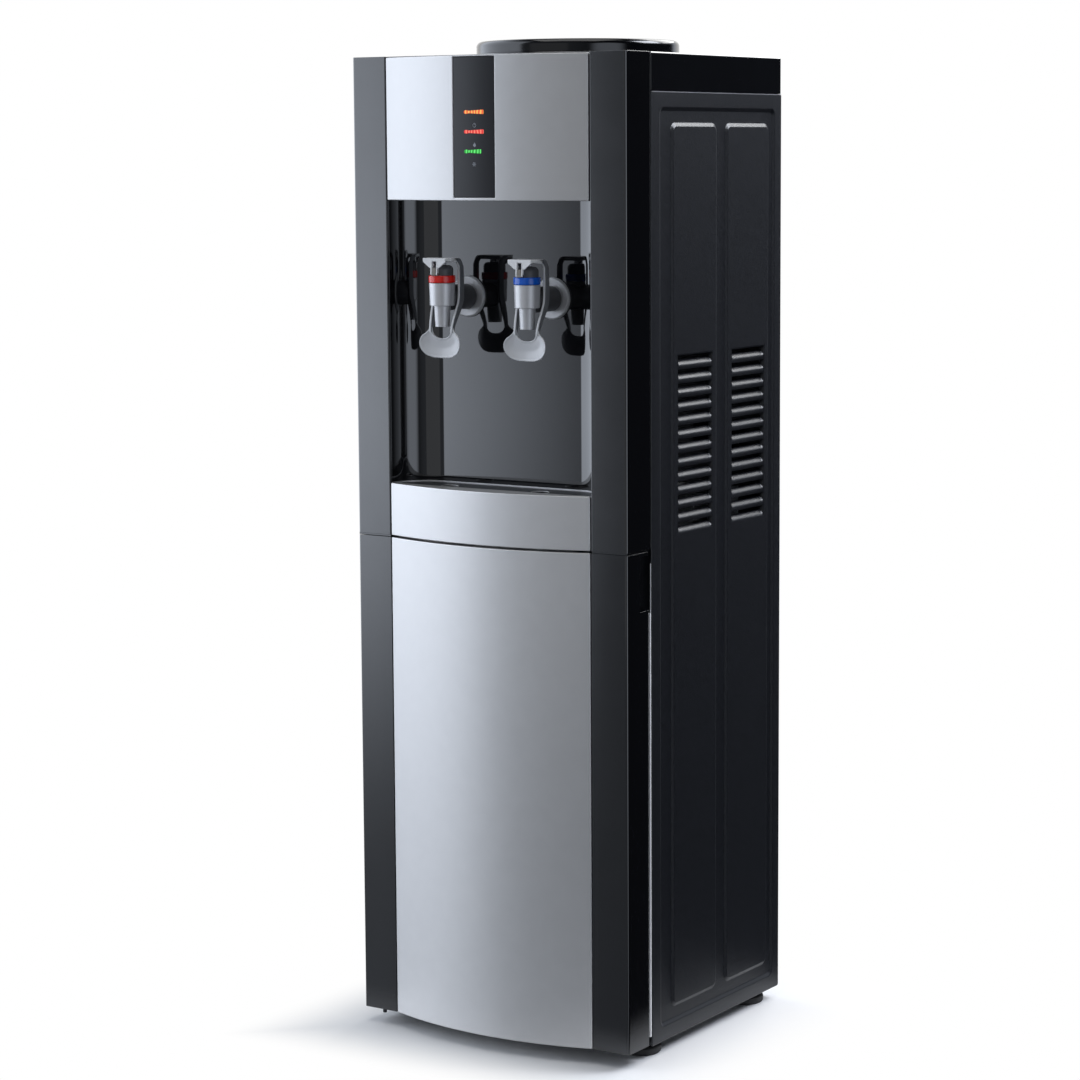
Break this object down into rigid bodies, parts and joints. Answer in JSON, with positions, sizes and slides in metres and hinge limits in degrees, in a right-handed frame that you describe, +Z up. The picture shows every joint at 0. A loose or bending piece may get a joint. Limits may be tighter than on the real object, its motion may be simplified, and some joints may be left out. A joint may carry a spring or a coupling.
{
  "type": "water cooler",
  "caption": "Free-standing water cooler: bottle seat on top, hot and cold lever taps in a recess over a drip tray, hinged cupboard door below, levelling feet.",
  "frame": {"origin": "middle of the footprint, on the floor", "axes": "+Z up, the taps and the door face -Y, +X is the viewer's right when facing the taps"},
  "size_m": [0.31, 0.3124, 0.9672],
  "materials": {
    "gloss_black": "gloss black moulding",
    "satin_black": "satin black moulding",
    "silver_paint": "silver metallic paint on plastic",
    "charcoal_steel": "fine-grained charcoal powder coat",
    "zinc_steel": "zinc-plated sheet",
    "stainless": "stainless sheet",
    "alloy": "bare aluminium",
    "foam": "off-white foam",
    "grey_plastic": "pale grey moulding",
    "white_plastic": "white moulding",
    "dark_plastic": "dark grey moulding",
    "tray_grey": "mid grey moulding",
    "black_rubber": "black rubber",
    "clear_hose": "milky silicone",
    "red_plastic": "red moulding",
    "blue_plastic": "blue moulding",
    "green_plastic": "green moulding",
    "orange_light": "orange lens",
    "red_light": "red lens",
    "green_light": "green lens"
  },
  "bodies": {
    "cabinet": {"right_side_panel": "charcoal_steel", "left_side_panel": "charcoal_steel", "base_tray": "charcoal_steel", "rear_panel": "charcoal_steel", "power_inlet": "dark_plastic", "top_cover": "gloss_black", "right_pillar": "satin_black", "left_pillar": "satin_black", "recess_liner": "gloss_black", "control_fascia": "silver_paint", "control_strip": "gloss_black", "led_power": "orange_light", "led_hot": "red_light", "led_cold": "green_light", "tray_fascia": "silver_paint", "cabinet_liner": "grey_plastic", "mid_deck": "zinc_steel", "cold_tank": "stainless", "cold_insulation": "foam", "tank_shelf": "zinc_steel", "cooling_module": "white_plastic", "heat_sink": "alloy", "fan_frame": "dark_plastic", "hot_tank": "stainless", "heater_band": "zinc_steel", "cold_hose": "clear_hose", "hot_hose": "clear_hose", "feed_hose": "clear_hose", "power_supply": "zinc_steel", "hinge_bracket": "charcoal_steel", "tap_clamp": "zinc_steel", "hot_tap_flange": "silver_paint", "hot_tap_shank": "dark_plastic", "hot_tap_sleeve": "silver_paint", "hot_tap_ring": "red_plastic", "hot_tap_bonnet": "dark_plastic", "cold_tap_flange": "silver_paint", "cold_tap_shank": "dark_plastic", "cold_tap_sleeve": "silver_paint", "cold_tap_ring": "blue_plastic", "cold_tap_bonnet": "dark_plastic"},
    "door": {"door_frame": "satin_black", "door_skin": "silver_paint", "door_liner": "grey_plastic"},
    "hot_lever": {"hot_tap_lever": "white_plastic"},
    "cold_lever": {"cold_tap_lever": "white_plastic"},
    "hot_stem": {"hot_tap_stem": "stainless"},
    "cold_stem": {"cold_tap_stem": "stainless"},
    "tray": {"drip_tray": "dark_plastic"},
    "drip_plate": {"drip_plate": "tray_grey"},
    "bottle_seat": {"bottle_collar": "gloss_black", "bottle_funnel": "white_plastic"},
    "fan_rotor": {"fan_impeller": "dark_plastic"},
    "hot_rocker": {"hot_switch": "red_plastic"},
    "cold_rocker": {"cold_switch": "green_plastic"},
    "drain_plug": {"drain_cap": "dark_plastic"},
    "front_left_foot": {"foot_front_left": "black_rubber"},
    "front_right_foot": {"foot_front_right": "black_rubber"},
    "rear_left_foot": {"foot_rear_left": "black_rubber"},
    "rear_right_foot": {"foot_rear_right": "black_rubber"}
  },
  "joints": [
    {"name": "door_hinge", "type": "hinge", "parent": "cabinet", "child": "door", "pos_m": [-0.145, -0.11625, 0.2525], "axis": [0, 0, -1], "range_deg": [0, 110]},
    {"name": "hot_lever_hinge", "type": "hinge", "parent": "cabinet", "child": "hot_lever", "pos_m": [-0.0485, -0.15265, 0.7468], "axis": [1, 0, 0], "range_deg": [0, 12], "stiffness_Nm_per_rad": 1, "springref_deg": -5.73},
    {"name": "hot_stem_slide", "type": "slide", "parent": "cabinet", "child": "hot_stem", "axis": [0, 0, 1], "range_m": [0, 0.0025]},
    {"name": "cold_lever_hinge", "type": "hinge", "parent": "cabinet", "child": "cold_lever", "pos_m": [0.0485, -0.15265, 0.7468], "axis": [1, 0, 0], "range_deg": [0, 12], "stiffness_Nm_per_rad": 1, "springref_deg": -5.73},
    {"name": "cold_stem_slide", "type": "slide", "parent": "cabinet", "child": "cold_stem", "axis": [0, 0, 1], "range_m": [0, 0.0025]},
    {"name": "tray_lift", "type": "slide", "parent": "cabinet", "child": "tray", "axis": [0, 0, 1], "range_m": [0, 0.06]},
    {"name": "drip_plate_lift", "type": "slide", "parent": "tray", "child": "drip_plate", "axis": [0, 0, 1], "range_m": [0, 0.04]},
    {"name": "bottle_seat_lift", "type": "slide", "parent": "cabinet", "child": "bottle_seat", "axis": [0, 0, 1], "range_m": [0, 0.1]},
    {"name": "fan_spin", "type": "hinge", "parent": "cabinet", "child": "fan_rotor", "pos_m": [0, 0.133, 0.808], "axis": [0, 1, 0], "continuous": true},
    {"name": "hot_rocker_hinge", "type": "hinge", "parent": "cabinet", "child": "hot_rocker", "pos_m": [0.078, 0.14165, 0.576], "axis": [1, 0, 0], "range_deg": [-20, 0]},
    {"name": "cold_rocker_hinge", "type": "hinge", "parent": "cabinet", "child": "cold_rocker", "pos_m": [0.106, 0.14165, 0.576], "axis": [1, 0, 0], "range_deg": [-20, 0]},
    {"name": "drain_cap_pull", "type": "slide", "parent": "cabinet", "child": "drain_plug", "axis": [0, 1, 0], "range_m": [0, 0.03]},
    {"name": "front_left_foot_turn", "type": "hinge", "parent": "cabinet", "child": "front_left_foot", "pos_m": [-0.13, -0.07425, 0.004], "axis": [0, 0, 1], "continuous": true},
    {"name": "front_right_foot_turn", "type": "hinge", "parent": "cabinet", "child": "front_right_foot", "pos_m": [0.13, -0.07425, 0.004], "axis": [0, 0, 1], "continuous": true},
    {"name": "rear_left_foot_turn", "type": "hinge", "parent": "cabinet", "child": "rear_left_foot", "pos_m": [-0.13, 0.12625, 0.004], "axis": [0, 0, 1], "continuous": true},
    {"name": "rear_right_foot_turn", "type": "hinge", "parent": "cabinet", "child": "rear_right_foot", "pos_m": [0.13, 0.12625, 0.004], "axis": [0, 0, 1], "continuous": true}
  ],
  "couplings": [
    {"joint": "hot_stem_slide", "follows": "hot_lever_hinge", "m_per_rad": 0.0108},
    {"joint": "cold_stem_slide", "follows": "cold_lever_hinge", "m_per_rad": 0.0108}
  ]
}
